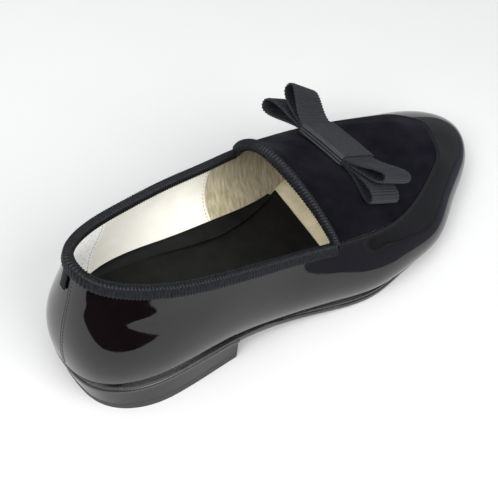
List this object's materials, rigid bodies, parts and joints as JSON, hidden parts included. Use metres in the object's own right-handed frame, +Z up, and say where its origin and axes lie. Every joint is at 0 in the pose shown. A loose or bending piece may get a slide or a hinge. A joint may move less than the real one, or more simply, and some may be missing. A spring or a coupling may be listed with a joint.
{
  "type": "tuxedo shoe",
  "caption": "Right-foot low slip-on evening shoe: glossy hollow upper open at the collar, velvet vamp plug, ribbed ribbon bindings and a flat looped bow, on a thin sole with a low heel.",
  "frame": {"origin": "under the middle of the shoe's overall box, on the floor plane", "axes": "+X towards the toe, +Y towards the inner side of the foot, +Z up"},
  "size_m": [0.3014, 0.1102, 0.0872],
  "materials": {
    "patent": "black patent, high gloss",
    "velvet": "dark matt velvet with a soft nap",
    "grosgrain": "ribbed ribbon, dull sheen",
    "sole": "black waxed leather, satin",
    "rubber": "black, matt",
    "sock": "black lining leather, matt",
    "lining": "cream lining leather, matt"
  },
  "bodies": {
    "root": {"outsole": "sole", "welt": "sole", "heel_block": "patent", "heel_lift": "rubber", "insole": "sock", "upper": "patent", "plug": "velvet", "plug_piping": "grosgrain", "collar_binding": "grosgrain", "throat_binding": "grosgrain", "bow_lower_ribbon": "grosgrain", "bow_upper_ribbon": "grosgrain", "bow_band": "grosgrain"}
  },
  "joints": []
}
